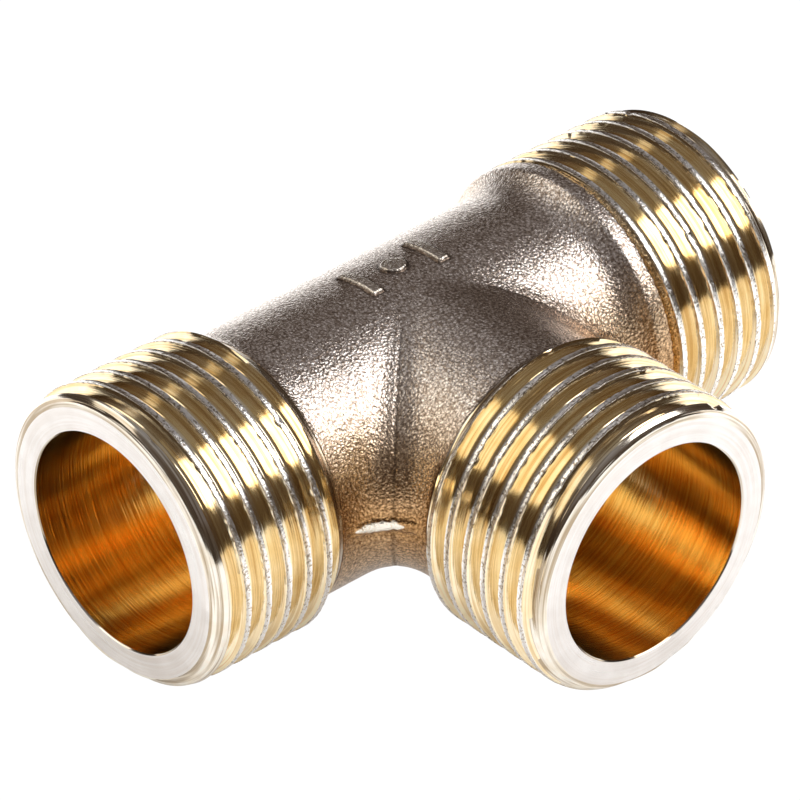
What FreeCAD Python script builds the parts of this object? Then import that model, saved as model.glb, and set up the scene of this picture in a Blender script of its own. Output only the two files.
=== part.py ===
import FreeCAD, Part
import math
import os

from FreeCAD import Placement, Rotation
from FreeCAD import Vector as V

# Equal male tee, pipe thread G 3/8, hot-forged in brass and machined at its three ends.
# Millimetres. X is the run's axis, the branch points to -Y, +Z is up.
# The origin is the point where the two axes cross. The fitting lies flat on its thread crests.

# Lengths from the origin to the three end faces
run_half_length = 19.8
branch_length = 18.7

# Bores, drilled from each end face to the centre
run_bore_d = 12.2
branch_bore_d = 12.2

# Necks of the forging, as forged. The run is slightly the larger, so the branch sinks into it.
run_neck_d = 14.8
branch_neck_d = 14.6
crotch_blend_r = 3.0

# Thread G 3/8: 19 threads per inch, 55 degree flanks, crests left flat by the turned blank
thread_pitch = 1.337
thread_crest_d = 16.5
thread_depth = 0.775
thread_root_r = 0.184
flank_half_angle = 27.5

# Machined ends
end_face_d = 14.9
end_bevel_height = 0.6
end_bevel_length = 0.35
end_chamfer_length = 1.15
machined_length = 8.3
rear_bevel_height = 0.45
rear_bevel_length = 0.3

# The right end keeps a land of forging skin between its thread and its neck
right_land_length = 0.95
land_relief = 0.05

# Coves where each neck swells to its collar
left_cove_length = 1.1
branch_cove_length = 1.0
right_cove_length = 1.9

# Flash witness: what is left of the flash, trimmed off the mid-plane where the dies met
flash_height = 0.12
flash_width = 0.5
flash_end_gap = 0.6
flash_arc_start = 25.0
flash_arc = 58.0

# Raised die mark on the crown of the run: a bar, a round pip and a bar
mark_height = 0.22
mark_bar_length = 2.8
mark_bar_width = 0.55
mark_pip_d = 1.3
mark_spacing = 2.3
mark_offset_back = 0.95

# Raised lines and marks are rooted this deep in the forging, whose skin is opened to match
ROOTED = 0.1

# The thread tool stands this far proud of the crests, less than where its turns would meet
TOOL_PROUD = 0.15

run_neck_r = run_neck_d / 2
branch_neck_r = branch_neck_d / 2
crest_r = thread_crest_d / 2
collar_r = crest_r - rear_bevel_height
land_r = crest_r - land_relief
left_collar = run_half_length - machined_length
right_collar = run_half_length - machined_length
branch_collar = branch_length - machined_length
right_land_end = right_collar - right_land_length

X_AXIS = V(1, 0, 0)
Z_AXIS = V(0, 0, 1)

# Turns a solid built upright onto each end of the tee, with its end face outwards
TO_LEFT = Placement(V(0, 0, 0), Rotation(Z_AXIS, V(-1, 0, 0)))
TO_RIGHT = Placement(V(0, 0, 0), Rotation(Z_AXIS, V(1, 0, 0)))
TO_BRANCH = Placement(V(0, 0, 0), Rotation(Z_AXIS, V(0, -1, 0)))


def cylinder(radius, length, base=V(0, 0, 0), direction=Z_AXIS):
    return Part.makeCylinder(radius, length, base, direction)


def spun(points, placement):
    """The solid that a closed outline of (radius, height) sweeps about the upright axis."""
    corners = [V(r, 0, z) for r, z in points]
    face = Part.Face(Part.makePolygon(corners + corners[:1]))
    solid = face.revolve(V(0, 0, 0), Z_AXIS, 360)
    solid.Placement = placement
    return solid


def collar(neck_r, top_r, start, length, land, placement):
    """A cove that swells from the neck to top_r, starting at height start, and a land after it."""
    sink = neck_r / 2
    rise = top_r - neck_r
    # the arc leaves the neck tangent to it and reaches the collar at its full slope
    cove_r = (length**2 + rise**2) / (2 * rise)
    half_turn = math.atan2(rise, length)
    mid = V(neck_r + cove_r * (1 - math.cos(half_turn)), 0, start + cove_r * math.sin(half_turn))
    foot = V(neck_r, 0, start)
    lip = V(top_r, 0, start + length)
    crown = V(top_r, 0, start + length + land)
    edges = [Part.Arc(foot, mid, lip).toShape()]
    if land > 0:
        edges.append(Part.makeLine(lip, crown))
    inner_top = V(sink, 0, crown.z)
    inner_foot = V(sink, 0, start)
    edges.append(Part.makeLine(crown, inner_top))
    edges.append(Part.makeLine(inner_top, inner_foot))
    edges.append(Part.makeLine(inner_foot, foot))
    solid = Part.Face(Part.Wire(edges)).revolve(V(0, 0, 0), Z_AXIS, 360)
    solid.Placement = placement
    return solid


def beyond(height, placement):
    """A wide block over everything past that height, where a machined end takes over."""
    block = cylinder(thread_crest_d, 2 * machined_length, V(0, 0, height))
    block.Placement = placement
    return block


def forging_skin():
    """The outside of the forging, without bores."""
    # the necks are blended at full length and then cut back to the collars
    run = cylinder(run_neck_r, 2 * run_half_length, V(-run_half_length, 0, 0), X_AXIS)
    branch = cylinder(branch_neck_r, branch_length, V(0, 0, 0), V(0, -1, 0))
    necks = run.fuse(branch).removeSplitter()
    crotch = [e for e in necks.Edges if isinstance(e.Curve, Part.BSplineCurve)]
    blended = necks.makeFillet(crotch_blend_r, crotch)
    skin = blended.cut([
        beyond(left_collar, TO_LEFT),
        beyond(right_collar, TO_RIGHT),
        beyond(branch_collar, TO_BRANCH),
    ])
    collars = [
        collar(run_neck_r, collar_r, left_collar - left_cove_length, left_cove_length,
               0, TO_LEFT),
        collar(branch_neck_r, collar_r, branch_collar - branch_cove_length, branch_cove_length,
               0, TO_BRANCH),
        collar(run_neck_r, land_r, right_land_end - right_cove_length, right_cove_length,
               right_land_length, TO_RIGHT),
    ]
    return skin.fuse(collars).removeSplitter()


def bores():
    """Both bores as one cutter. They meet at the centre."""
    run = cylinder(run_bore_d / 2, 2 * run_half_length, V(-run_half_length, 0, 0), X_AXIS)
    branch = cylinder(branch_bore_d / 2, branch_length, V(0, 0, 0), V(0, -1, 0))
    return run.fuse(branch)


def groove_turn(start):
    """One turn of the right-hand thread's groove about the upright axis, from start upwards."""
    root = crest_r - thread_depth
    half_angle = math.radians(flank_half_angle)
    foot_out = root + thread_root_r * (1 - math.sin(half_angle))
    foot_half = thread_root_r * math.cos(half_angle)
    top_out = crest_r + TOOL_PROUD
    top_half = foot_half + (top_out - foot_out) * math.tan(half_angle)
    low_top = V(top_out, 0, start - top_half)
    low_foot = V(foot_out, 0, start - foot_half)
    bottom = V(root, 0, start)
    high_foot = V(foot_out, 0, start + foot_half)
    high_top = V(top_out, 0, start + top_half)
    outline = Part.Wire([
        Part.makeLine(low_top, low_foot),
        Part.Arc(low_foot, bottom, high_foot).toShape(),
        Part.makeLine(high_foot, high_top),
        Part.makeLine(high_top, low_top),
    ])
    helix = Part.makeHelix(thread_pitch, thread_pitch, crest_r)
    helix.translate(V(0, 0, start))
    return Part.Wire(helix.Edges).makePipeShell([outline], True, True)


def threaded_end(end_height, bore_d, rear_r, placement):
    """One machined end: bore, flat face, two-step chamfer, right-hand thread and rear bevel."""
    bore_r = bore_d / 2
    face_r = end_face_d / 2
    rear = end_height - machined_length
    blank = spun(
        [
            (bore_r, rear),
            (rear_r, rear),
            (crest_r, rear + rear_bevel_length),
            (crest_r, end_height - end_chamfer_length),
            (face_r + end_bevel_height, end_height - end_bevel_length),
            (face_r, end_height),
            (bore_r, end_height),
        ],
        Placement(),
    )
    # the groove starts and stops a turn clear of the blank, so the thread runs out at both ends
    end = blank
    for turn in range(math.ceil(machined_length / thread_pitch) + 2):
        end = end.cut(groove_turn(rear + (turn - 1) * thread_pitch))
    end.Placement = placement
    return end


def flash_behind_run():
    """The straight flash line along the run's back, between the two coves."""
    left = left_collar - left_cove_length - flash_end_gap
    right = right_land_end - right_cove_length - flash_end_gap
    corner = V(-left, run_neck_r - ROOTED, -flash_width / 2)
    return Part.makeBox(left + right, ROOTED + flash_height, flash_width, corner)


def flash_in_crotch(side):
    """The flash line that follows the crotch blend in the mid-plane. side is -1 left, 1 right."""
    centre = V(side * (branch_neck_r + crotch_blend_r), -(run_neck_r + crotch_blend_r), 0)
    corners = []
    for reach, height in (
        (crotch_blend_r - flash_height, -flash_width / 2),
        (crotch_blend_r + ROOTED, -flash_width / 2),
        (crotch_blend_r + ROOTED, flash_width / 2),
        (crotch_blend_r - flash_height, flash_width / 2),
    ):
        corners.append(centre + V(-side * reach, 0, height))
    strip = Part.Face(Part.makePolygon(corners + corners[:1]))
    strip.rotate(centre, Z_AXIS, -side * flash_arc_start)
    return strip.revolve(centre, Z_AXIS, -side * flash_arc)


def die_marks():
    """A bar, a pip and a bar, raised from the crown of the run."""
    tall = 2 * run_neck_r
    prisms = [cylinder(mark_pip_d / 2, tall, V(0, mark_offset_back, 0))]
    for x in (-mark_spacing, mark_spacing):
        corner = V(x - mark_bar_width / 2, mark_offset_back - mark_bar_length / 2, 0)
        prisms.append(Part.makeBox(mark_bar_width, mark_bar_length, tall, corner))
    span = 4 * mark_spacing
    start = V(-span / 2, 0, 0)
    raised = cylinder(run_neck_r + mark_height, span, start, X_AXIS)
    rooted = raised.cut(cylinder(run_neck_r - ROOTED, span, start, X_AXIS))
    return [prism.common(rooted) for prism in prisms]


def write(name, shapes):
    solids = [solid for shape in shapes for solid in shape.Solids]
    for solid in solids:
        if not solid.isValid():
            raise ValueError(name + " is not a valid solid")
    Part.makeCompound(solids).exportStep("parts/" + name + ".step")
    volume = sum(solid.Volume for solid in solids)
    print(f"{name}: {len(solids)} solid(s), {volume:.1f} mm3")


os.makedirs("parts", exist_ok=True)
marks = die_marks()
flash_lines = {
    "flash_line_back": flash_behind_run(),
    "flash_line_left": flash_in_crotch(-1),
    "flash_line_right": flash_in_crotch(1),
}
write("forged_body", [forging_skin().cut([bores(), *flash_lines.values(), *marks])])
for name, line in flash_lines.items():
    write(name, [line])
write("die_mark", marks)
write("run_end_left", [threaded_end(run_half_length, run_bore_d, collar_r, TO_LEFT)])
write("run_end_right", [threaded_end(run_half_length, run_bore_d, land_r, TO_RIGHT)])
write("branch_end", [threaded_end(branch_length, branch_bore_d, collar_r, TO_BRANCH)])
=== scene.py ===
# %% [markdown]
# # An equal tee in brass, with three male pipe threads
# The real fitting is hot-forged: a slug of brass is squeezed between two dies, the flash is
# trimmed off, the skin is shot-blasted grey-gold, and a machine then bores, faces and threads
# the three ends. So it has two finishes that meet at hard lines: a grainy forging and bright
# turned metal. This lesson makes the forging as one soft mesh and each machined end as another.
#
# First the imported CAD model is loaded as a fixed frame. Its sizes could be typed in again here,
# but they are measured on the frame instead, so the picture always fits the part.

# %% Load the CAD frame and measure it
import math

import bpy
import numpy as np
from mathutils import Matrix, Vector, noise


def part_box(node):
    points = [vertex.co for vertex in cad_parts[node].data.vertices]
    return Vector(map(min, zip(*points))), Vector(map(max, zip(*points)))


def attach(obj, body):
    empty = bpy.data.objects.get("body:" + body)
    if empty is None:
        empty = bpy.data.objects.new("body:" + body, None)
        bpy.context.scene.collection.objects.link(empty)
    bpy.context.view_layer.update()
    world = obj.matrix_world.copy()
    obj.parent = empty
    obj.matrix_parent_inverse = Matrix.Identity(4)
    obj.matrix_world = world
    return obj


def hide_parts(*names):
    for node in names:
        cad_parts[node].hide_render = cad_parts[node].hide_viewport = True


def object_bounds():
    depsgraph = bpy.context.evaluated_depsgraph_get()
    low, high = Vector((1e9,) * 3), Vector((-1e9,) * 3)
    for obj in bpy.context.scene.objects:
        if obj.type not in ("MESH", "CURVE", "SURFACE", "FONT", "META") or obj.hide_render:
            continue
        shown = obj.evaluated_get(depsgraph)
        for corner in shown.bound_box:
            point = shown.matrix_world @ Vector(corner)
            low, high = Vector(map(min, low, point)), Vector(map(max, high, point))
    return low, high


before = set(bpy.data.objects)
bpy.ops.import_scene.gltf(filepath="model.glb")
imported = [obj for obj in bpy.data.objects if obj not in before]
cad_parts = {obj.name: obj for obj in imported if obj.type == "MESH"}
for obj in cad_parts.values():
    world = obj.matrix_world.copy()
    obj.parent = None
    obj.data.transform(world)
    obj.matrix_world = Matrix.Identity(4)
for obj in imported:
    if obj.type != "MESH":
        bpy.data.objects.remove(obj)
cad_low, cad_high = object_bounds()
MM = 0.001
outside = 50 * MM


def probe(node, start, direction):
    """Distance in metres from start to the CAD node's surface along direction."""
    hit, place, normal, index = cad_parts[node].ray_cast(Vector(start), Vector(direction))
    return (place - Vector(start)).length


run_half = -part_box("run_end_left")[0].x
branch_length = -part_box("branch_end")[0].y
run_rear = -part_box("run_end_left")[1].x
branch_rear = -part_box("branch_end")[1].y
crest_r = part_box("run_end_left")[1].z
bore_r = probe("run_end_left", (-run_half + 2 * MM, 0, 0), (0, 0, 1))
neck_r = outside - probe("forged_body", (-run_rear + 2.5 * MM, 0, outside), (0, 0, -1))
print(f"half run {run_half / MM:.2f}, branch {branch_length / MM:.2f}, crest r {crest_r / MM:.3f}, "
      f"bore r {bore_r / MM:.3f}, neck r {neck_r / MM:.3f} mm")

# %% [markdown]
# ## Working by hand in a script
# Every mesh below is made with the tools of the Edit menu, so a few helpers stand in for the
# hand. The first two make one object active and apply a modifier to it.

# %% Select one piece, apply one modifier
def only(piece):
    """Select piece and nothing else, in Object Mode."""
    bpy.ops.object.select_all(action="DESELECT")
    piece.select_set(True)
    bpy.context.view_layer.objects.active = piece


def apply_modifier(piece, kind, **settings):
    """Add a modifier, set it and apply it at once."""
    only(piece)
    modifier = piece.modifiers.new(kind.title(), kind)
    for name, value in settings.items():
        setattr(modifier, name, value)
    bpy.ops.object.modifier_apply(modifier=modifier.name)


# %% [markdown]
# A turned piece starts from its outline. It could be typed in as a list of vertices, but here
# one vertex is extruded from point to point, as by hand with the E key. A plane merged to its
# centre gives that first vertex.

# %% Draw an outline
def draw_outline(name, points):
    """An open chain of edges through (radius, height) points, in the XZ plane."""
    bpy.ops.object.select_all(action="DESELECT")
    bpy.ops.mesh.primitive_plane_add(size=MM)
    piece = bpy.context.object
    piece.name = name
    bpy.ops.object.mode_set(mode="EDIT")
    bpy.ops.mesh.select_mode(type="VERT")
    bpy.ops.mesh.merge(type="CENTER")
    bpy.ops.transform.translate(value=(points[0][0], 0, points[0][1]))
    for (r0, z0), (r1, z1) in zip(points, points[1:]):
        step = {"value": (r1 - r0, 0, z1 - z0)}
        bpy.ops.mesh.extrude_vertices_move(TRANSFORM_OT_translate=step)
    bpy.ops.object.mode_set(mode="OBJECT")
    return piece


# %% [markdown]
# Fine wear such as a torn edge has thousands of vertices, too many to drag one by one. They are
# read as an array, moved by a formula and written back, which is what a sculpt brush does.

# %% Read, move, pick and cut
def vertices(piece):
    """The piece's vertices as rows of x, y, z in metres."""
    places = np.empty(len(piece.data.vertices) * 3)
    piece.data.vertices.foreach_get("co", places)
    return places.reshape(-1, 3)


def move_vertices(piece, places):
    """Put the piece's vertices on those places."""
    piece.data.vertices.foreach_set("co", places.ravel())
    piece.data.update()


def pick(piece, chosen, kind="VERT"):
    """Select the vertices or faces where chosen is true, and go to Edit Mode."""
    only(piece)
    bpy.ops.object.mode_set(mode="EDIT")
    bpy.ops.mesh.select_mode(type=kind)
    bpy.ops.mesh.select_all(action="DESELECT")
    bpy.ops.object.mode_set(mode="OBJECT")
    parts = piece.data.vertices if kind == "VERT" else piece.data.polygons
    parts.foreach_set("select", np.asarray(chosen, dtype=bool))
    bpy.ops.object.mode_set(mode="EDIT")


def cut_off(point, outward, close=False):
    """In Edit Mode, cut the mesh by a plane and throw away what lies on its outward side."""
    bpy.ops.mesh.select_all(action="SELECT")
    bpy.ops.mesh.bisect(plane_co=point, plane_no=outward, clear_outer=True, use_fill=close,
                        threshold=1e-5 * MM)


def grain(places, size, seed):
    """Smooth noise from about -1 to 1 at each place, with lumps of that size."""
    shift = Vector((seed * 7.3, seed * 3.1, seed * 5.7))
    return np.array([noise.noise(Vector(place) / size + shift) for place in places])


# %% [markdown]
# ## The thread
# A pipe thread G 3/8 has 19 turns to the inch, flanks at 55 degrees and a rounded root. The
# blank is turned first and the tool cuts the groove into it, so the crests stay flat, and each
# groove throws up a thin lip of burr on either side. A bump texture could fake the grooves, but
# they would have no silhouette, so one pitch of the outline is drawn and the Screw modifier
# carries it round and along.

# %% One pitch of the thread's outline
pitch = 1.337 * MM
thread_depth = 0.775 * MM
root_round = 0.184 * MM
flank_angle = math.radians(27.5)
root_r = crest_r - thread_depth
flank_low = root_r + root_round * (1 - math.sin(flank_angle))
root_half = root_round * math.cos(flank_angle)
groove_half = root_half + (crest_r - flank_low) * math.tan(flank_angle)
crest_width = pitch - 2 * groove_half
lip_height = 0.02 * MM
lip_width = 0.06 * MM
flank_shares = (0.06, 0.13, 0.32, 0.55, 0.78, 1.0)
root_steps = 5


def thread_outline():
    """(radius, height) points over one pitch, from the middle of one crest to the next."""
    half_crest = crest_width / 2
    points = [(crest_r - lip_height, 0), (crest_r - lip_height, half_crest - lip_width),
              (crest_r - lip_height / 2, half_crest - lip_width / 2), (crest_r, half_crest)]
    middle = pitch / 2
    for share in flank_shares:
        points.append((crest_r + share * (flank_low - crest_r),
                       half_crest + share * (groove_half - root_half)))
    for i in range(1, root_steps):
        turn = (math.pi / 2 - flank_angle) * (2 * i / root_steps - 1)
        points.append((root_r + root_round * (1 - math.cos(turn)),
                       middle + root_round * math.sin(turn)))
    mirrored = [(r, pitch - z) for r, z in points[:4 + len(flank_shares)]]
    return points + mirrored[::-1]


print(f"crest flat {crest_width / MM:.3f} mm, root r {root_r / MM:.3f} mm, "
      f"{len(thread_outline())} points")

# %% [markdown]
# ## The turned blank
# The blank's outline, measured inwards from the end face: a soft lip at the face, a long
# chamfer that leads the thread in, the full diameter, a bevel at the back and the smooth cove
# that the back tool leaves. The thread could be cut from a solid blank with a Boolean, but that
# leaves slivers where the groove runs out. Instead each vertex of the thread that stands outside
# the blank is brought in to it, so the grooves fade into the chamfer as on the lathe.

# %% The blank's outline and the threaded shell
face_r = 7.45 * MM
crest_mm = crest_r / MM
steps_round = 400
lead_in = [(0.0, face_r / MM), (0.05, 7.66), (0.16, 7.88), (0.35, 8.05), (1.15, crest_mm)]


def blank_outline(back):
    """Depths and radii of the blank, from the end face inwards."""
    return [(depth * MM, radius * MM) for depth, radius in lead_in + back]


def turned_shell(name, outline, turns_shift):
    """The outside of one end: thread cut into the blank. Depth runs along +Z from the face."""
    depths, radii = np.array(outline).T
    length = depths[-1]
    turns = math.ceil(length / pitch) + 2
    piece = draw_outline(name, thread_outline())
    apply_modifier(piece, "SCREW", axis="Z", angle=2 * math.pi, screw_offset=pitch,
                   iterations=turns, steps=steps_round, render_steps=steps_round,
                   use_smooth_shade=True)
    places = vertices(piece)
    places[:, 2] -= pitch * (1 + turns_shift)
    move_vertices(piece, places)
    pick(piece, np.ones(len(places)))
    bpy.ops.mesh.remove_doubles(threshold=pitch * 1e-4)
    cut_off((0, 0, 0), (0, 0, -1))
    cut_off((0, 0, length), (0, 0, 1))
    bpy.ops.mesh.select_all(action="SELECT")
    bpy.ops.mesh.remove_doubles(threshold=2e-3 * MM)
    bpy.ops.object.mode_set(mode="OBJECT")
    places = vertices(piece)
    reach = np.hypot(places[:, 0], places[:, 1])
    allowed = np.interp(places[:, 2], depths, radii)
    places[:, :2] *= np.minimum(1, allowed / reach)[:, None]
    move_vertices(piece, places)
    return piece


# %% [markdown]
# ## Face and bore
# The end is faced flat and bored, and the edge between the two is only broken, not rounded. A
# second mesh could plug the shell, but a shared rim leaves no gap: the shell's open rim is
# extruded inwards over the face, round the edge and down the bore, and bridged at the back.

# %% Face and bore one end
def pick_open_edges(piece, deepest):
    """Select the open rims of the shell down to that depth, and go to Edit Mode."""
    pick(piece, np.zeros(len(piece.data.vertices)))
    bpy.ops.mesh.select_mode(type="EDGE")
    bpy.ops.mesh.select_non_manifold()
    bpy.ops.object.mode_set(mode="OBJECT")
    points = piece.data.vertices
    slack = 1e-3 * MM
    for edge in piece.data.edges:
        edge.select &= all(points[v].co.z < deepest + slack for v in edge.vertices)
    for point in points:
        point.select = False
    for edge in piece.data.edges:
        if edge.select:
            for v in edge.vertices:
                points[v].select = True
    bpy.ops.object.mode_set(mode="EDIT")


def bore_and_face(piece, length, back_depth):
    """Carry the rim at the face inwards over the face, round the bore's edge and down the bore."""
    edge = 0.07 * MM
    pick_open_edges(piece, deepest=length / 2)
    for radius, depth in (((face_r + bore_r) / 2, 0), (bore_r + edge, 0), (bore_r, edge),
                          (bore_r, length / 3), (bore_r, 2 * length / 3), (bore_r, back_depth)):
        bpy.ops.mesh.extrude_edges_move()
        bpy.ops.object.mode_set(mode="OBJECT")
        places = vertices(piece)
        chosen = np.array([v.select for v in piece.data.vertices])
        reach = np.hypot(places[chosen, 0], places[chosen, 1])
        places[chosen, :2] *= (radius / reach)[:, None]
        places[chosen, 2] = depth
        move_vertices(piece, places)
        bpy.ops.object.mode_set(mode="EDIT")
    bpy.ops.object.mode_set(mode="OBJECT")
    pick_open_edges(piece, deepest=length)
    bpy.ops.mesh.bridge_edge_loops()
    bpy.ops.mesh.select_all(action="SELECT")
    bpy.ops.mesh.normals_make_consistent(inside=False)
    bpy.ops.object.mode_set(mode="OBJECT")


# %% [markdown]
# ## What the tool leaves
# Seen close, the crests aren't clean: the lips of burr are torn and pushed over, and handling
# has nicked them. A texture could darken them, but torn metal glints at its edge, so noise moves
# the vertices near the crests a few hundredths of a millimetre, in and along, and each nick is a
# small cone pressed into the mesh.

# %% Torn crests and nicks
def tear_crests(piece, outline, seed, knocks):
    """Roughen the crests and dent the end; a knock is (degrees round, depth, size, sink) in mm."""
    places = vertices(piece)
    depths, radii = np.array(outline).T
    reach = np.hypot(places[:, 0], places[:, 1])
    allowed = np.interp(places[:, 2], depths, radii)
    torn, clean_lead = 0.07 * MM, 0.6 * MM
    near = np.flatnonzero((reach > crest_r - torn) & (reach > allowed - torn)
                          & (places[:, 2] > clean_lead))
    spot = places[near]
    share = np.clip((reach[near] - crest_r + torn) / torn, 0, 1)
    coarse = grain(spot, 0.4 * MM, seed)
    fine = grain(spot, 0.12 * MM, seed + 1)
    sideways = grain(spot, 0.25 * MM, seed + 2) + 0.5 * grain(spot, 0.12 * MM, seed + 3)
    least, ragged, worn, bent = 0.002 * MM, 0.016 * MM, 0.03 * MM, 0.024 * MM
    sunk = share * (least + ragged * np.abs(fine) + worn * np.clip(coarse - 0.15, 0, 1))
    places[near, :2] *= (1 - sunk / reach[near])[:, None]
    places[near, 2] += share * bent * sideways
    chance = np.random.default_rng(seed)
    nick_count, first, last = 60, 1.2, depths[-1] / MM - 1.6
    nicks = [(chance.uniform(0, 360), chance.uniform(first, last),
              chance.uniform(0.15, 0.32), chance.uniform(0.04, 0.10)) for _ in range(nick_count)]
    for degrees, depth, size, sink in knocks + nicks:
        turn, middle = math.radians(degrees), min(crest_r, np.interp(depth * MM, depths, radii))
        centre = (middle * math.cos(turn), middle * math.sin(turn), depth * MM)
        away = np.linalg.norm(places - centre, axis=1)
        sunk = sink * MM * np.clip(1 - away / (size * MM), 0, 1)
        places[:, :2] *= (1 - sunk / np.hypot(places[:, 0], places[:, 1]))[:, None]
    move_vertices(piece, places)


# %% [markdown]
# ## Metals
# Brass is one metal with several skins here: blasted, turned and torn. They could share one
# material with masks, but each has its own making, so each gets its own short node tree. All
# patterns are read from Object coordinates, so they have their real size in metres. These
# helpers add one node each.

# %% Node helpers
def new_metal(name):
    """A metallic material, with its nodes, links and shader."""
    material = bpy.data.materials.new(name)
    material.use_nodes = True
    nodes, links = material.node_tree.nodes, material.node_tree.links
    bsdf = nodes["Principled BSDF"]
    bsdf.inputs["Metallic"].default_value = 1.0
    return material, nodes, links, bsdf


def math_node(nodes, links, operation, first, second=None):
    """One sum, with a socket or a number as each of its terms."""
    node = nodes.new("ShaderNodeMath")
    node.operation = operation
    for socket, value in zip(node.inputs, (first, second)):
        if value is None:
            continue
        if isinstance(value, (int, float)):
            socket.default_value = value
        else:
            links.new(value, socket)
    return node.outputs[0]


def ramp(nodes, links, factor, stops):
    """A colour ramp through (position, colour) stops."""
    node = nodes.new("ShaderNodeValToRGB")
    links.new(factor, node.inputs["Fac"])
    elements = node.color_ramp.elements
    while len(elements) < len(stops):
        elements.new(1.0)
    for element, (position, colour) in zip(elements, stops):
        element.position = position
        element.color = (*colour, 1)
    return node.outputs["Color"]


def span(nodes, links, value, low, high):
    """Map a 0 to 1 value to low to high."""
    node = nodes.new("ShaderNodeMapRange")
    links.new(value, node.inputs["Value"])
    node.inputs["To Min"].default_value = low
    node.inputs["To Max"].default_value = high
    return node.outputs["Result"]


def tint(nodes, links, colour, by):
    """One colour multiplied by another."""
    node = nodes.new("ShaderNodeMix")
    node.data_type, node.blend_type = "RGBA", "MULTIPLY"
    node.inputs["Factor"].default_value = 1.0
    links.new(colour, node.inputs["A"])
    links.new(by, node.inputs["B"])
    return node.outputs["Result"]


def bump(nodes, links, bsdf, height, distance, previous=None):
    """Relief of that height in metres on the shader, on top of an earlier bump if one is given."""
    node = nodes.new("ShaderNodeBump")
    node.inputs["Distance"].default_value = distance
    node.inputs["Strength"].default_value = 1.0
    links.new(height, node.inputs["Height"])
    if previous is not None:
        links.new(previous, node.inputs["Normal"])
    links.new(node.outputs["Normal"], bsdf.inputs["Normal"])
    return node.outputs["Normal"]


def noise_texture(nodes, links, where, size, detail, roughness=0.5):
    """Cloudy noise with lumps of that size in metres."""
    node = nodes.new("ShaderNodeTexNoise")
    node.inputs["Scale"].default_value = 1 / size
    node.inputs["Detail"].default_value = detail
    node.inputs["Roughness"].default_value = roughness
    links.new(where, node.inputs["Vector"])
    return node.outputs["Fac"]


# %% [markdown]
# ## Shot-blasted skin
# Steel shot leaves the forging covered in tiny dents, each with a bright facet and a dark rim. The
# colour is painted silvery towards the crown and darker and warmer towards the middle of its
# height, where the crotches lie: painted light and shade, with random patches on top. The dents are
# too small for a mesh. Dents and pits are bumps, and the same patterns also paint shade into the
# colour, darker in the low spots of the pits and at the rims of the dents, so that the grain shows
# from every side and not only in a highlight. Two attributes painted on the mesh later say where
# the skin was scraped bright at the flash, and where shade is painted at the foot of the mark and
# in the crease.

# %% The shot-blasted skin of the forging
def blasted_brass():
    """Dented and pitted skin with painted shade: silvery above, darker and warmer at mid-height and
    in the pits, scraped at the flash.
    """
    material, nodes, links, bsdf = new_metal("shot_blasted_brass")
    where = nodes.new("ShaderNodeTexCoord").outputs["Object"]
    pits = noise_texture(nodes, links, where, 0.12 * MM, 3.0, 0.55)
    dents = nodes.new("ShaderNodeTexVoronoi")
    dents.inputs["Scale"].default_value = 1 / (0.17 * MM)
    links.new(where, dents.inputs["Vector"])
    patches = noise_texture(nodes, links, where, 3.5 * MM, 4.0)
    split = nodes.new("ShaderNodeSeparateXYZ")
    links.new(where, split.inputs[0])
    height = math_node(nodes, links, "ABSOLUTE", split.outputs[2])
    share = math_node(nodes, links, "DIVIDE", height, neck_r)
    uneven = math_node(nodes, links, "ADD", share,
                       math_node(nodes, links, "MULTIPLY", patches, 0.3))
    # Painted light and shade: the colour is paler away from the mid-plane and darker and warmer
    # near it, with random patches on top.
    colour = ramp(nodes, links, uneven, [(0.20, (0.66, 0.40, 0.18)), (0.60, (0.92, 0.72, 0.50)),
                                         (1.0, (0.98, 0.93, 0.90))])
    scraped = nodes.new("ShaderNodeAttribute")
    scraped.attribute_name = "scraped"
    mix = nodes.new("ShaderNodeMix")
    mix.data_type = "RGBA"
    links.new(scraped.outputs["Fac"], mix.inputs["Factor"])
    # Painted shade: the colour is darker in the low spots of the pits and at the rims of the dents.
    painted_pit_shade = ramp(nodes, links, pits,
                   [(0.36, (0.38, 0.32, 0.27)), (0.50, (0.86, 0.83, 0.80)), (0.58, (1, 1, 1))])
    painted_dent_rim_shade = ramp(nodes, links, dents.outputs["Distance"],
                   [(0.30, (1, 1, 1)), (0.80, (0.58, 0.52, 0.47))])
    # Painted shade: the colour darkens at the foot of the mark and in the crease.
    mark_and_crease_shade = nodes.new("ShaderNodeAttribute")
    mark_and_crease_shade.attribute_name = "mark_and_crease_shade"
    mark_and_crease_darkening = ramp(nodes, links, mark_and_crease_shade.outputs["Fac"], [(0.0, (1, 1, 1)), (1.0, (0.16, 0.12, 0.09))])
    grained = tint(nodes, links, tint(nodes, links, tint(nodes, links, colour, painted_pit_shade), painted_dent_rim_shade),
                   mark_and_crease_darkening)
    links.new(grained, mix.inputs["A"])
    mix.inputs["B"].default_value = (0.95, 0.90, 0.80, 1)
    links.new(mix.outputs["Result"], bsdf.inputs["Base Color"])
    links.new(span(nodes, links, pits, 0.30, 0.14), bsdf.inputs["Roughness"])
    first = bump(nodes, links, bsdf, dents.outputs["Distance"], 0.021 * MM)
    bump(nodes, links, bsdf, pits, 0.036 * MM, first)
    return material


# %% [markdown]
# ## Turned skin
# A lathe tool leaves fine rings about the axis, which smear a reflection across themselves and
# keep it sharp along themselves. An anisotropic shader would smear too, but shows no rings. Here
# a noise is read by radius and depth, which change fast, and by the direction round the axis,
# which changes slowly, so that it draws itself out into rings.

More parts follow.
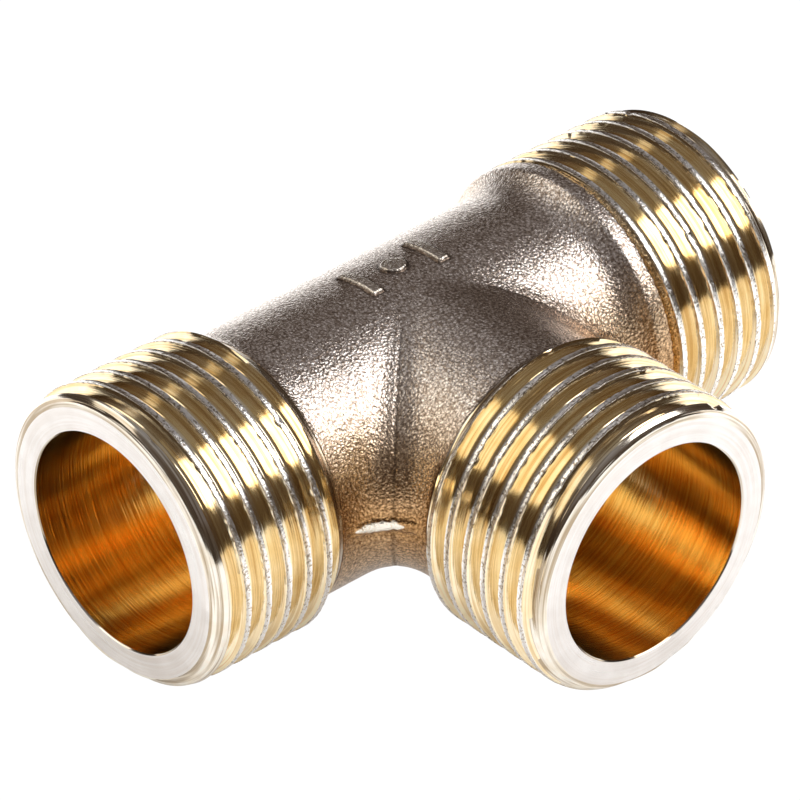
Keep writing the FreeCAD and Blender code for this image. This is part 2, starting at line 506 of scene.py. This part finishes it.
# %% Turned brass
def turned_brass(name, axis, colour, dark, roughness, ring_size, ring_height, radial, along,
                 ring_shade_colour):
    """Turned metal whose fine rings lie about the given axis.

    radial and along say how much the rings step with the radius and along the axis.
    """
    material, nodes, links, bsdf = new_metal(name)
    where = nodes.new("ShaderNodeTexCoord").outputs["Object"]
    split = nodes.new("ShaderNodeSeparateXYZ")
    links.new(where, split.inputs[0])
    x, y, z = split.outputs
    depth, side = (x, y) if axis == "X" else (y, x)
    radius = math_node(nodes, links, "SQRT", math_node(
        nodes, links, "ADD", math_node(nodes, links, "MULTIPLY", side, side),
        math_node(nodes, links, "MULTIPLY", z, z)))
    across = nodes.new("ShaderNodeCombineXYZ")
    links.new(math_node(nodes, links, "MULTIPLY", radius, radial / ring_size), across.inputs[0])
    links.new(math_node(nodes, links, "MULTIPLY", depth, along / ring_size), across.inputs[1])
    links.new(math_node(nodes, links, "DIVIDE", side, radius), across.inputs[2])
    rings = nodes.new("ShaderNodeTexNoise")
    rings.noise_dimensions = "4D"
    rings.inputs["Scale"].default_value = 1.0
    rings.inputs["Detail"].default_value = 2.0
    links.new(across.outputs[0], rings.inputs["Vector"])
    links.new(math_node(nodes, links, "DIVIDE", z, radius), rings.inputs["W"])
    stain = noise_texture(nodes, links, where, 1.2 * MM, 3.0)
    shade = ramp(nodes, links, stain, [(0.35, dark), (0.62, colour)])
    # Painted shade: the colour is darker in the grooves of the rings.
    painted_ring_shade = ramp(nodes, links, rings.outputs["Fac"], [(0.40, ring_shade_colour), (0.56, (1, 1, 1))])
    links.new(tint(nodes, links, shade, painted_ring_shade), bsdf.inputs["Base Color"])
    links.new(span(nodes, links, rings.outputs["Fac"], roughness * 0.7, roughness * 1.3),
              bsdf.inputs["Roughness"])
    bump(nodes, links, bsdf, rings.outputs["Fac"], ring_height)
    return material


# %% [markdown]
# ## Torn skin
# On the crests and the burrs the metal was squeezed and torn rather than cut: white glints beside
# dark tears. Rings would be wrong there, so one rough noise gives colour, gloss and relief
# together: the colour is painted pale where the torn metal stands up and dark where the tears sink
# in, painted glints and painted shade, so that the tears agree with the shadows.

# %% Torn brass
def torn_brass(name, bright, dark, size, height, roughness):
    """Smeared and torn metal: painted glints beside painted shade in the tears."""
    material, nodes, links, bsdf = new_metal(name)
    where = nodes.new("ShaderNodeTexCoord").outputs["Object"]
    tears = noise_texture(nodes, links, where, size, 4.0, 0.65)
    # Painted light and shade: pale where the tears stand up, dark where they sink in.
    shade = ramp(nodes, links, tears, [(0.40, dark), (0.47, bright)])
    links.new(shade, bsdf.inputs["Base Color"])
    links.new(span(nodes, links, tears, roughness * 0.5, roughness * 1.5),
              bsdf.inputs["Roughness"])
    bump(nodes, links, bsdf, tears, height)
    return material


# %% [markdown]
# ## The six skins of an end
# Faces look pale and flanks gold, although they are one metal: light crosses a groove twice and
# takes the brass's colour twice, and in a bore it is thrown on many times. The bounces are traced,
# but the colours below also paint part of that light: the faces, leads and crests get paler, nearly
# white colours and the bores a deeper orange than the flanks, painted light and shade on copies of
# one metal. The rings need to know which way the axis points, so the run and the branch each have
# their own set.

# %% The machined skins, in the order that a painted face counts them
FACE, FLANK, CREST, BORE, LEAD, BURR = range(6)
# Painted light: the faces, leads and crests are paler and the bores a deeper orange than the
# flanks, although all are one brass; the burrs' dark tears are painted shade.
gold, deep_gold = (0.94, 0.83, 0.61), (0.90, 0.76, 0.50)
pale, pale_dark = (0.86, 0.835, 0.815), (0.80, 0.77, 0.745)
skins = {}
for axis in ("X", "Y"):
    run = axis.lower()
    skins[axis] = [
        turned_brass(f"turned_faces_{run}", axis, pale, pale_dark, 0.25,
                     0.16 * MM, 0.003 * MM, 1.0, 1.0, (0.93, 0.91, 0.89)),
        turned_brass(f"thread_flanks_{run}", axis, gold, deep_gold, 0.11,
                     0.10 * MM, 0.007 * MM, 1.0, 0.05, (0.80, 0.70, 0.56)),
        torn_brass(f"torn_crests_{run}", (0.98, 0.96, 0.93), (0.40, 0.33, 0.25),
                   0.15 * MM, 0.016 * MM, 0.20),
        turned_brass(f"bored_walls_{run}", axis, (1.0, 0.81, 0.42), (1.0, 0.71, 0.30),
                     0.18, 0.11 * MM, 0.013 * MM, 0.0, 1.0, (0.86, 0.70, 0.50)),
        turned_brass(f"turned_leads_{run}", axis, (0.90, 0.86, 0.78), (0.84, 0.77, 0.65), 0.12,
                     0.16 * MM, 0.03 * MM, 0.7, 1.0, (0.50, 0.42, 0.33)),
        torn_brass(f"burrs_{run}", (0.80, 0.74, 0.66), (0.12, 0.09, 0.06),
                   0.12 * MM, 0.06 * MM, 0.22),
    ]
print(sum(len(s) for s in skins.values()), "machined skins")


# %% [markdown]
# ## Painting an end
# On the lathe each cut leaves its own skin, so a face's place says which cut made it: the flat
# at depth nothing is the end face, below the blank's outline lies a flank, on the outline a
# crest, a burr where it leans. Faces could be picked by hand, but there are sixty thousand.

# %% Paint one end by place
def paint_end(piece, outline, axis):
    """Give each face its skin by its place. The end still stands along Z."""
    for skin in skins[axis]:
        piece.data.materials.append(skin)
    count = len(piece.data.polygons)
    centres, normals = np.empty(count * 3), np.empty(count * 3)
    piece.data.polygons.foreach_get("center", centres)
    piece.data.polygons.foreach_get("normal", normals)
    centres, normals = centres.reshape(-1, 3), normals.reshape(-1, 3)
    depths, radii = np.array(outline).T
    reach = np.hypot(centres[:, 0], centres[:, 1])
    facing = (centres[:, :2] * normals[:, :2]).sum(1) / reach
    allowed = np.interp(centres[:, 2], depths, radii)
    lead, shallow, crest_zone = 0.8 * MM, 0.03 * MM, reach > crest_r - 0.06 * MM
    upright = 0.93
    skin = np.full(count, LEAD, dtype=np.int32)
    skin[(reach < allowed - shallow) & (centres[:, 2] > lead)] = FLANK
    skin[crest_zone & (facing < upright)] = BURR
    skin[crest_zone & (facing > upright)] = CREST
    skin[(reach < bore_r + shallow) & (facing < -0.5)] = BORE
    skin[centres[:, 2] < 1e-3 * MM] = FACE
    piece.data.polygons.foreach_set("material_index", skin)


# %% [markdown]
# ## Three threaded ends
# The three ends are cut with the same tools, but the spindle never stops at the same angle, so
# each thread starts at its own turn, and each end has its own wear. One function makes an end
# upright, where its sums are simple, and a matrix lays it on its place. Behind the left and the
# branch thread a back tool cut a smooth cove; behind the right one the forging's skin remains.

# %% One threaded end
def threaded_end(name, node, to_place, axis, back, forging_start, turns_shift, seed, knocks):
    """One machined end, made upright and laid on its place by the matrix to_place.

    back is the rear of the blank's outline, and forging_start the depth in mm where the
    forging takes over the bore. turns_shift turns the thread's start.
    """
    outline = blank_outline(back)
    piece = turned_shell(name, outline, turns_shift)
    bore_and_face(piece, outline[-1][0], (forging_start + 0.01) * MM)
    paint_end(piece, outline, axis)
    tear_crests(piece, outline, seed, knocks)
    piece.data.transform(to_place)
    piece.data.update()
    only(piece)
    bpy.ops.object.shade_smooth_by_angle(angle=math.radians(35))
    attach(piece, "root")
    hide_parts(node)
    print(name, len(piece.data.polygons), "faces")
    return piece


def laid(face_centre, inward):
    """Puts an upright end on face_centre with its depth running inward."""
    turn = Vector((0, 0, 1)).rotation_difference(Vector(inward)).to_matrix().to_4x4()
    return Matrix.Translation(face_centre) @ turn


# %% The two kinds of back, and the three ends
cove_r, cove_length, cove_steps, cove_step = 1.71, 1.1, 5, 0.11
shell_end, shell_end_r = 0.75, 7.3


def cove(start):
    """(depth, radius) points down the cove that the back tool leaves, from the rear bevel."""
    points = []
    for i in range(1, cove_steps + 1):
        left = cove_length - i * cove_step
        points.append((start + i * cove_step,
                       neck_r / MM + cove_r - math.sqrt(cove_r**2 - left**2)))
    return points + [(start + shell_end, shell_end_r)]


machined = (run_half - run_rear) / MM
tuck = 0.62
rear_bevel = (0.3, 0.45)
relief_step = 0.05
open_back = [(machined - rear_bevel[0], crest_mm), (machined, crest_mm - rear_bevel[1])]
open_back += cove(machined)
land_back = [(machined - relief_step, crest_mm), (machined + relief_step, crest_mm - relief_step)]
ends = [
    threaded_end("threaded_end_left", "run_end_left", laid((-run_half, 0, 0), (1, 0, 0)), "X",
                 open_back, machined + tuck, 0.3, 1, [(200, 0.5, 0.4, 0.08)]),
    threaded_end("threaded_end_right", "run_end_right", laid((run_half, 0, 0), (-1, 0, 0)), "X",
                 land_back, machined, 0.1, 11, []),
    threaded_end("threaded_end_branch", "branch_end", laid((0, -branch_length, 0), (0, 1, 0)),
                 "Y", open_back, machined + tuck, 0.6, 21, [(-58, 0.6, 0.45, 0.3)]),
]
print(len(ends), "ends, each machined over", round(machined, 2), "mm")

# %% [markdown]
# ## The forging
# A forging has no sharp corner: every raised line leans and rounds into the skin. Bevels on the
# CAD solid's edges would meet badly in the crotches, so the solid is copied, its bores are
# closed, its flash lines and marks are joined on, and a voxel remesh melts them into one skin
# that is smoothed. The bores are drilled again afterwards, as in the factory.

# %% Copy the CAD solids and close the bores
def copy_of(*nodes):
    """One merged mesh made from copies of CAD nodes."""
    bpy.ops.object.select_all(action="DESELECT")
    for node in nodes:
        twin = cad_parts[node].copy()
        twin.data = twin.data.copy()
        twin.parent = None
        for key in list(twin.keys()):
            del twin[key]
        bpy.context.scene.collection.objects.link(twin)
        twin.hide_render = twin.hide_viewport = False
        twin.select_set(True)
        bpy.context.view_layer.objects.active = twin
    if len(nodes) > 1:
        bpy.ops.object.join()
    piece = bpy.context.object
    bpy.ops.object.mode_set(mode="EDIT")
    bpy.ops.mesh.select_all(action="SELECT")
    bpy.ops.mesh.remove_doubles(threshold=1e-7)
    bpy.ops.object.mode_set(mode="OBJECT")
    return piece


def close_bores(piece):
    """Delete the walls of the bores and cap the three rims."""
    places = vertices(piece)
    slack = 1e-3 * MM
    in_run = np.hypot(places[:, 1], places[:, 2]) < bore_r + slack
    in_branch = np.hypot(places[:, 0], places[:, 2]) < bore_r + slack
    wall = np.array([all(in_run[v] or in_branch[v] for v in face.vertices)
                     for face in piece.data.polygons])
    pick(piece, wall, "FACE")
    bpy.ops.mesh.delete(type="FACE")
    bpy.ops.mesh.select_mode(type="EDGE")
    bpy.ops.mesh.select_all(action="DESELECT")
    bpy.ops.mesh.select_non_manifold(use_wire=False, use_multi_face=False,
                                     use_non_contiguous=False, use_verts=False)
    bpy.ops.mesh.edge_face_add()
    bpy.ops.object.mode_set(mode="OBJECT")


# %% Melt the forging into one skin
forged_nodes = ("forged_body", "flash_line_back", "flash_line_left", "flash_line_right",
                "die_mark")
forging = copy_of(*forged_nodes)
forging.name = "forging"
close_bores(forging)
voxel = 0.135 * MM
apply_modifier(forging, "REMESH", mode="VOXEL", voxel_size=voxel, use_smooth_shade=True)
apply_modifier(forging, "SMOOTH", factor=0.5, iterations=4)
print("forging skin:", len(forging.data.polygons), "faces")

# %% [markdown]
# ## Mark, crease and flash
# On the crown stands a raised mark, a bar, a pip and a bar. In each crotch runs a crease, where the
# two hollows of the die met, and across it lies a bright crescent where the flash was sheared off.
# All are small against the voxels. They could be separate pieces laid on, but on a forging they are
# one metal with the skin, so the skin is divided finer there and pushed into shape, and two
# attributes remember where it is scraped and where shade is painted on it, at the foot of the mark
# and in the crease.

# %% The shapes of the mark and of the scraped flash
mark_low, mark_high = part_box("die_mark")
bar_width, pip_r, mark_height = 0.66 * MM, 0.7 * MM, 0.19 * MM
blend_r = 3.0 * MM
scar_middle, scar_half = math.radians(14), math.radians(25)


def soft_step(value, width):
    """0 below -width/2, 1 above +width/2, smooth between."""
    t = np.clip(value / width + 0.5, 0, 1)
    return t * t * (3 - 2 * t)


def mark_relief(places):
    """How far inside the mark's outline each place is, and its height, with leaning edges."""
    middle = (mark_low.y + mark_high.y) / 2
    x, y = places[:, 0], places[:, 1] - middle
    half_length = (mark_high.y - mark_low.y) / 2
    bar_x = mark_high.x - bar_width / 2
    inside = pip_r - np.hypot(x, y)
    for centre in (-bar_x, bar_x):
        bar = np.minimum(bar_width / 2 - np.abs(x - centre), half_length - np.abs(y))
        inside = np.maximum(inside, bar)
    return inside, mark_height * soft_step(inside, 0.2 * MM) * (places[:, 2] > 0)


def crotch_angle(places, side):
    """Reach and angle seen from the centre of a crotch blend; positive towards the run's end."""
    centre = np.array([side * (neck_r + blend_r), -(neck_r + blend_r)])
    offset = places[:, :2] - centre
    reach = np.hypot(offset[:, 0], offset[:, 1])
    towards = (offset @ np.array([-side, 1])) / math.sqrt(2) / reach
    run_side = np.sign(offset @ np.array([side, 1]))
    return reach, run_side * np.arccos(np.clip(towards, -1, 1))


def scraped_share(places):
    """1 on the crescent of sheared flash in each crotch, fading out round it."""
    share = np.zeros(len(places))
    for side in (-1, 1):
        reach, angle = crotch_angle(places, side)
        along = (angle - scar_middle) / scar_half
        half_width = 0.36 * MM * np.sqrt(np.clip(1 - along**2, 0, 1))
        ragged = 0.12 * MM * grain(places, 0.3 * MM, 5 + side)
        inside = soft_step(half_width + ragged - np.abs(places[:, 2]) - 0.06 * MM, 0.08 * MM)
        share = np.maximum(share, inside * (np.abs(reach - blend_r) < 0.4 * MM)
                           * (half_width > 0))
    return share


# %% Push mark and crease into the skin
around = 0.4 * MM
seam_height, skin_slack = 0.5 * MM, 0.1 * MM
places = vertices(forging)
crown = ((np.abs(places[:, 0]) < mark_high.x + around) & (places[:, 2] > 0)
         & (places[:, 1] > mark_low.y - around) & (places[:, 1] < mark_high.y + around))
seam = (np.abs(places[:, 2]) < seam_height) & (places[:, 1] < -neck_r + skin_slack)
pick(forging, crown | seam)
bpy.ops.mesh.subdivide(number_cuts=1)
bpy.ops.object.mode_set(mode="OBJECT")
places = vertices(forging)
normals = np.empty(places.size)
forging.data.vertices.foreach_get("normal", normals)
normals = normals.reshape(-1, 3)
crease = np.zeros(len(places))
crease_width, crease_depth, swell = 0.11 * MM, 0.05 * MM, 0.012 * MM
for side in (-1, 1):
    off_plane = np.abs(places[:, 0] + side * places[:, 1]) / math.sqrt(2)
    within = (places[:, 1] < -3 * MM) & (places[:, 0] * side > 0)
    crease += np.exp(-(off_plane / crease_width) ** 2) * within
uneven = grain(places, 1.1 * MM, 40)
places += normals * (swell * uneven - crease_depth * crease)[:, None]
margin = 0.35 * MM
inside = np.minimum.reduce([
    mark_high.x + margin - np.abs(places[:, 0]), places[:, 1] - mark_low.y + margin,
    mark_high.y + margin - places[:, 1], 100 * places[:, 2]])
reach = np.hypot(places[:, 1], places[:, 2])
inside_mark, relief = mark_relief(places)
wanted = neck_r + relief + 0.01 * MM * uneven
share = soft_step(inside - margin / 2, margin)
places[:, 1:] *= (1 + share * (wanted / reach - 1))[:, None]
move_vertices(forging, places)
print("forging with relief:", len(forging.data.polygons), "faces")

# %% Remember where the skin is scraped and where shade is painted on it
scraped = forging.data.attributes.new("scraped", "FLOAT", "POINT")
rubbed = 0.45 * soft_step(relief - 0.14 * MM, 0.06 * MM)
scraped.data.foreach_set("value", np.maximum(scraped_share(vertices(forging)),
                                             rubbed).astype(np.float32))
# Painted shade along the foot of the mark and in the crease.
outline_of_mark = np.exp(-((inside_mark + 0.06 * MM) / (0.11 * MM)) ** 2) * (places[:, 2] > 0)
mark_and_crease_shade = forging.data.attributes.new("mark_and_crease_shade", "FLOAT", "POINT")
mark_and_crease_shade.data.foreach_set("value", np.clip(0.95 * outline_of_mark + 0.5 * crease, 0, 1)
                        .astype(np.float32))
print("scraped vertices:", int((scraped_share(places) > 0.5).sum()))

# %% [markdown]
# ## Drilling
# The forging is solid until the drills go through it. An exact Boolean cuts as cleanly as they
# do, and it hands the cutter's material to the cut faces, so the bores are turned metal at once.
# Under the coves the skin is first trimmed back, since there the machined ends take over.

# %% Trim it to the machined ends and drill the bores
only(forging)
bpy.ops.object.mode_set(mode="EDIT")
for centre, outward in (((-run_rear + tuck * MM, 0, 0), (-1, 0, 0)),
                        ((0, -branch_rear + tuck * MM, 0), (0, -1, 0))):
    cut_off(centre, outward, close=True)
bpy.ops.object.mode_set(mode="OBJECT")


def drill(radius, start, finish):
    """A bore cutter from start to finish."""
    start, finish = Vector(start), Vector(finish)
    bpy.ops.object.select_all(action="DESELECT")
    bpy.ops.mesh.primitive_cylinder_add(vertices=256, radius=radius, depth=(finish - start).length)
    cutter = bpy.context.object
    turn = (finish - start).to_track_quat("Z", "Y").to_matrix().to_4x4()
    cutter.data.transform(Matrix.Translation((start + finish) / 2) @ turn)
    return cutter


run_drill = drill(bore_r, (-run_half, 0, 0), (run_half, 0, 0))
branch_drill = drill(bore_r, (0, -branch_length, 0), (0, 0, 0))
bore_skins = [skins["X"][BORE], skins["Y"][BORE]]
for index, cutter in enumerate((run_drill, branch_drill)):
    cutter.data.materials.append(bore_skins[index])
forging.data.materials.clear()
forging.data.materials.append(blasted_brass())
for skin in bore_skins:
    forging.data.materials.append(skin)
for cutter in (run_drill, branch_drill):
    apply_modifier(forging, "BOOLEAN", operation="DIFFERENCE", object=cutter, solver="EXACT",
                   material_mode="TRANSFER")
    bpy.data.objects.remove(cutter)
only(forging)
bpy.ops.object.shade_smooth_by_angle(angle=math.radians(40))
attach(forging, "root")
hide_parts(*forged_nodes)
print("forging drilled:", len(forging.data.polygons), "faces,",
      [m.name for m in forging.data.materials])

# %% [markdown]
# ## The studio
# Bright metal shows what stands round it, so the studio is half of its look. The fitting lies on a
# white table. Seen directly the table is overexposed to plain white. The metal sees it lit and
# shaded by the lamps, and also glowing with painted light that is brighter behind the fitting than
# in front. Both come from one material, which asks whether the ray comes straight from the camera.

# %% The table
def lit_table():
    """A white table. Seen directly it is blown out to plain white; metal sees it lit, shaded and
    glowing with painted light.
    """
    bpy.ops.object.select_all(action="DESELECT")
    bpy.ops.mesh.primitive_plane_add(size=1.9, location=(0, 0, 0))
    table = bpy.context.object
    table.name = "lit_table"
    table.data.transform(Matrix.Translation((0, 0, cad_low.z)))
    material = bpy.data.materials.new("lit_white_table")
    material.use_nodes = True
    nodes, links = material.node_tree.nodes, material.node_tree.links
    paint = nodes["Principled BSDF"]
    paint.inputs["Base Color"].default_value = (0.9, 0.9, 0.9, 1)
    paint.inputs["Roughness"].default_value = 0.9
    # Painted light: for the metal the table also glows, brighter behind the fitting than in front.
    paint.inputs["Emission Color"].default_value = (1, 1, 1, 1)
    split = nodes.new("ShaderNodeSeparateXYZ")
    links.new(nodes.new("ShaderNodeTexCoord").outputs["Object"], split.inputs[0])
    behind = math_node(nodes, links, "ADD",
                       math_node(nodes, links, "MULTIPLY", split.outputs[0], 0.67),
                       math_node(nodes, links, "MULTIPLY", split.outputs[1], 0.74))
    fade = nodes.new("ShaderNodeMapRange")
    fade.interpolation_type = "SMOOTHSTEP"
    links.new(behind, fade.inputs["Value"])
    for socket, value in (("From Min", 0.0), ("From Max", 0.03), ("To Min", 0.30),
                          ("To Max", 0.78)):
        fade.inputs[socket].default_value = value
    links.new(fade.outputs["Result"], paint.inputs["Emission Strength"])
    blown = nodes.new("ShaderNodeEmission")
    blown.inputs["Strength"].default_value = 1.05
    mix = nodes.new("ShaderNodeMixShader")
    links.new(nodes.new("ShaderNodeLightPath").outputs["Is Camera Ray"], mix.inputs[0])
    links.new(paint.outputs[0], mix.inputs[1])
    links.new(blown.outputs[0], mix.inputs[2])
    links.new(mix.outputs[0], nodes["Material Output"].inputs["Surface"])
    table.data.materials.append(material)
    print("table at z", round(cad_low.z / MM, 2), "mm")


lit_table()

# %% [markdown]
# A long bright softbox stands in front on the right and makes the gold bands down the threads,
# a weaker warm one stands behind on the left, and a small one overhead lifts the crown. A sun
# or a point lamp would give dots instead of bands. Each softbox is placed by the direction in
# which the fitting sees it, and turned so that its long side runs round the run's axis, which
# keeps the ends of the bands straight.

# %% Softboxes

def softbox(name, towards, along, tall, wide, brightness, colour=(1, 1, 1), distance=0.6):
    """A rectangular light seen from the fitting: its direction, its long side and its angles."""
    data = bpy.data.lights.new(name, "AREA")
    data.shape = "RECTANGLE"
    data.size = 2 * distance * math.tan(math.radians(wide / 2))
    data.size_y = 2 * distance * math.tan(math.radians(tall / 2))
    data.energy = brightness * math.pi * data.size * data.size_y
    data.color = colour
    light = bpy.data.objects.new(name, data)
    bpy.context.scene.collection.objects.link(light)
    outward = Vector(towards).normalized()
    upward = Vector(along)
    upward = (upward - upward.dot(outward) * outward).normalized()
    turn = Matrix((upward.cross(outward), upward, outward)).transposed().to_4x4()
    light.matrix_world = Matrix.Translation(outward * distance) @ turn
    return light


softbox("softbox_right", (0.545, -0.47, 0.69), (0, 0.83, 0.56), 35, 33, 4.6)
softbox("softbox_behind", (-0.48, 0.60, 0.64), (0.8, 0, 0.6), 42, 34, 1.4, (1.0, 0.95, 0.84))
softbox("softbox_overhead", (0.23, 0.60, 0.76), (1, 0, 0), 14, 10, 0.8)
table_light = softbox("table_light", (0.1, 0.15, 1.0), (0, 1, 0), 60, 60, 1.6)
table_light.visible_glossy = False

# %% [markdown]
# The room is brown and dim just above the table and grey overhead, which gives the dark bands
# between the bright ones. An even grey world would be simpler, but polished metal in it looks
# like plaster.

# %% The room
def room():
    """A room that the metal sees dim, and the camera sees plain white."""
    world = bpy.data.worlds.new("room")
    bpy.context.scene.world = world
    world.use_nodes = True
    nodes, links = world.node_tree.nodes, world.node_tree.links
    split = nodes.new("ShaderNodeSeparateXYZ")
    links.new(nodes.new("ShaderNodeTexCoord").outputs["Generated"], split.inputs[0])
    shade = ramp(nodes, links, split.outputs[2],
                 [(0.0, (0.06, 0.045, 0.035)), (0.36, (0.085, 0.062, 0.045)),
                  (0.50, (0.15, 0.125, 0.115)), (1.0, (0.25, 0.235, 0.23))])
    background = nodes["Background"]
    links.new(shade, background.inputs["Color"])
    white = nodes.new("ShaderNodeBackground")
    mix = nodes.new("ShaderNodeMixShader")
    links.new(nodes.new("ShaderNodeLightPath").outputs["Is Camera Ray"], mix.inputs[0])
    links.new(background.outputs[0], mix.inputs[1])
    links.new(white.outputs[0], mix.inputs[2])
    links.new(mix.outputs[0], nodes["World Output"].inputs["Surface"])
    white.inputs["Color"].default_value = (1, 1, 1, 1)


room()
bpy.context.scene.view_settings.view_transform = "Standard"

# %% [markdown]
# ## The camera
# A long lens from the left in front, looking down on the branch and into two of the bores. A
# short lens closer by would swell the near ends. The camera is placed by its direction and
# distance and then slid a little in its own plane to centre the fitting.

# %% Camera
azimuth, elevation, roll = math.radians(-42.254), math.radians(35.752), math.radians(0.28)
distance = 343.0 * MM
aim_right, aim_up = -0.262 * MM, -0.493 * MM
back = Vector((math.sin(azimuth) * math.cos(elevation), -math.cos(azimuth) * math.cos(elevation),
               math.sin(elevation)))
level = Vector((math.cos(azimuth), math.sin(azimuth), 0))
rise = back.cross(level)
right = level * math.cos(roll) + rise * math.sin(roll)
up = rise * math.cos(roll) - level * math.sin(roll)
lens = bpy.data.cameras.new("camera")
lens.lens = 297.9
lens.sensor_width = 36.0
lens.clip_start, lens.clip_end = 0.01, 3.0
camera = bpy.data.objects.new("camera", lens)
bpy.context.scene.collection.objects.link(camera)
turn = Matrix((right, up, back)).transposed().to_4x4()
camera.matrix_world = Matrix.Translation(back * distance + right * aim_right + up * aim_up) @ turn
bpy.context.scene.camera = camera
print("camera", round(distance / MM), "mm away, lens", round(lens.lens, 1), "mm")
